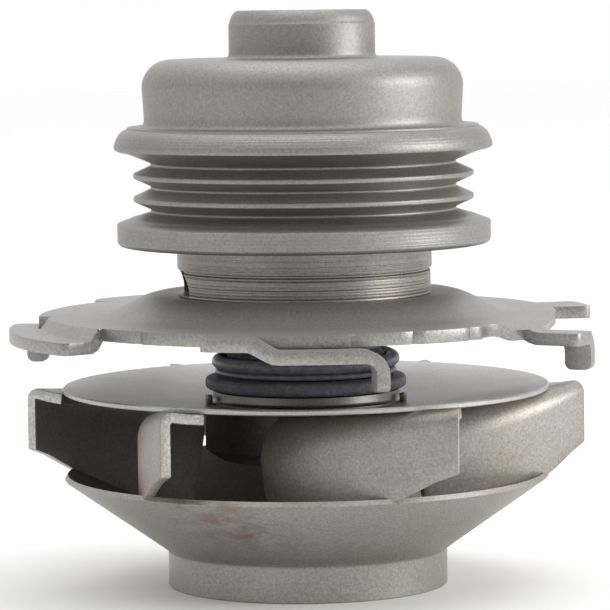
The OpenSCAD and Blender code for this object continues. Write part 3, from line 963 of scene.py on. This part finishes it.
shroudSteel = steelFinish("shroudSteel", steel=(0.40, 0.39, 0.36), tint=(0.35, 0.33, 0.28),
                          roughness=0.46, mottle=0.7, grain=0.6, bump=0.3,
                          stains=[((-0.013, -0.031, 0.0135), 0.011, 0.75),
                                  ((-0.006, -0.029, 0.0105), 0.007, 0.6),
                                  ((0.030, 0.012, 0.013), 0.010, 0.4)])
groundSteel = steelFinish("groundSteel", steel=(0.52, 0.51, 0.50), tint=(0.46, 0.45, 0.43),
                          roughness=0.28, lines=0.15, pitch=1.4, mottle=0.4, grain=0.3, bump=0.15)
# painted shade: the hub's ground steel is coloured near black because it lies in shade in the impeller's
# eye, under the back plate
hubSteelPaintedShade = steelFinish("hubSteelPaintedShade", steel=(0.13, 0.12, 0.11), tint=(0.10, 0.07, 0.05),
                       roughness=0.55, mottle=0.8, grain=0.6, bump=0.3)
platedSteel = steelFinish("platedSteel", steel=(0.23, 0.22, 0.205), tint=(0.19, 0.165, 0.14),
                          roughness=0.36, mottle=0.7, grain=0.5, bump=0.2)
ballSteel = steelFinish("ballSteel", steel=(0.66, 0.66, 0.66), tint=(0.60, 0.60, 0.60),
                        roughness=0.14, mottle=0.2, grain=0.1, bump=0.03)
blackSteel = darkFinish("blackSteel", deep=(0.16, 0.16, 0.19), dusty=(0.34, 0.34, 0.40), scale=900.0,
                        roughness=0.36, bump=0.15)
sealRubber = darkFinish("sealRubber", deep=(0.16, 0.164, 0.192), dusty=(0.34, 0.346, 0.395), scale=1300.0,
                        roughness=0.62, bump=0.8)
cageNylon = darkFinish("cageNylon", deep=(0.30, 0.19, 0.09), dusty=(0.38, 0.26, 0.14), scale=700.0,
                       roughness=0.5, bump=0.15)
sealCarbon = darkFinish("sealCarbon", deep=(0.02, 0.02, 0.022), dusty=(0.05, 0.05, 0.052), scale=1600.0,
                        roughness=0.42, bump=0.1)
seatCeramic = darkFinish("seatCeramic", deep=(0.09, 0.09, 0.10), dusty=(0.14, 0.14, 0.15), scale=1200.0,
                         roughness=0.35, bump=0.08)


def wear(piece, *materials):
    # puts finishes on a new piece: its faces, then its sheared edges
    slots = piece.data.materials
    while len(slots) < len(materials):
        slots.append(None)
    for i in range(len(slots)):
        slots[i] = materials[min(i, len(materials) - 1)]


wear(pulleyHub, drawnSteel)
wear(pulleyBand, turnedSteel)
wear(bearingBody, bodySteel)
wear(plate, stampedSteel, shearedSteel)
wear(spring, blackSteel)
wear(collar, blackSteel)
wear(boot, sealRubber)
wear(seatCup, platedSteel)
wear(backPlate, diskSteel)
wear(shroud, shroudSteel)
# the hub's near-black finish is painted shade
wear(hub, hubSteelPaintedShade)
for piece in vanes:
    wear(piece, vaneSteel, vaneEdges)

keptNodes = {
    "pump_shaft": groundSteel, "bearing_race": groundSteel, "slinger": platedSteel, "seal_cup": platedSteel,
    "balls_upper": ballSteel, "balls_lower": ballSteel, "cage_upper": cageNylon, "cage_lower": cageNylon,
    "bearing_seal_upper": sealRubber, "bearing_seal_lower": sealRubber, "seal_bellows": sealRubber,
    "carbon_ring": sealCarbon, "seat_ring": seatCeramic,
}
for name, material in keptNodes.items():
    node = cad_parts[name]
    for slot in node.material_slots:
        slot.material = material
    node.data.polygons.foreach_set("use_smooth", [True] * len(node.data.polygons))
    node.modifiers.new("weld", "WELD").merge_threshold = 0.002 * mm
    split = node.modifiers.new("edges", "EDGE_SPLIT")
    split.split_angle = math.radians(32)
report("finishes placed")


# floor, light and camera

bpy.ops.object.select_all(action="DESELECT")
bpy.ops.mesh.primitive_plane_add(size=6, location=(0, 0, 0))
floor = bpy.context.object
floor.name = "floor"
paper = bpy.data.materials.new("paleFloor")
paper.use_nodes = True
shader = paper.node_tree.nodes["Principled BSDF"]
shader.inputs["Base Color"].default_value = (0.9, 0.9, 0.9, 1)
shader.inputs["Roughness"].default_value = 0.9
floor.data.materials.append(paper)

studioLight = {"front": 0.34, "sides": 0.74, "behind": 0.36, "above": 0.55, "backdrop": 1.0}
world = bpy.data.worlds.new("studio")
world.use_nodes = True
tree = world.node_tree
direction = add(tree, "ShaderNodeSeparateXYZ", {0: add(tree, "ShaderNodeTexCoord").outputs["Generated"]})
towards = direction.outputs["Y"]
around = remap(tree, towards, -1.0, -0.55, studioLight["front"], studioLight["sides"])
soft = mathNode(tree, "ADD", around, remap(tree, towards, 0.2, 1.0, 0.0, studioLight["behind"]))
soft = mathNode(tree, "ADD", soft, remap(tree, direction.outputs["Z"], 0.35, 0.9, 0.0, studioLight["above"]))
seen = add(tree, "ShaderNodeLightPath").outputs["Is Camera Ray"]
backdrop = studioLight["backdrop"]
level = add(tree, "ShaderNodeMix", {0: seen, 2: soft, 3: backdrop}, data_type="FLOAT").outputs[0]
tree.links.new(level, tree.nodes["Background"].inputs["Strength"])
tree.nodes["Background"].inputs["Color"].default_value = (1, 1, 1, 1)
bpy.context.scene.world = world
bpy.context.scene.view_settings.view_transform = "Standard"

lamps = {
    "key": {"place": (0.60, -0.13, 0.24), "size": 0.28, "power": 1.9},
    "top": {"place": (0.0, 0.15, 0.9), "size": 0.7, "power": 1.5},
}
for name, lamp in lamps.items():
    data = bpy.data.lights.new(name, "AREA")
    data.energy = lamp["power"]
    data.size = lamp["size"]
    obj = bpy.data.objects.new(name, data)
    bpy.context.scene.collection.objects.link(obj)
    obj.location = lamp["place"]
    obj.rotation_euler = (Vector((0, 0, 0.045)) - obj.location).to_track_quat("-Z", "Y").to_euler()

cameraView = {"distance": 0.578, "height": 0.0915, "aimHeight": 0.0433, "lens": 220.8, "roll": 0.7}
v = cameraView
data = bpy.data.cameras.new("camera")
data.lens = v["lens"]
data.sensor_width = 36
data.clip_start = 0.05
camera = bpy.data.objects.new("camera", data)
bpy.context.scene.collection.objects.link(camera)
camera.location = (0, -v["distance"], v["height"])
aim = Vector((0, 0, v["aimHeight"])) - camera.location
look = aim.to_track_quat("-Z", "Y").to_matrix() @ Matrix.Rotation(math.radians(-v["roll"]), 3, "Z")
camera.rotation_euler = look.to_euler()
bpy.context.scene.camera = camera

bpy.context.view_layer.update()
report("scene ready")
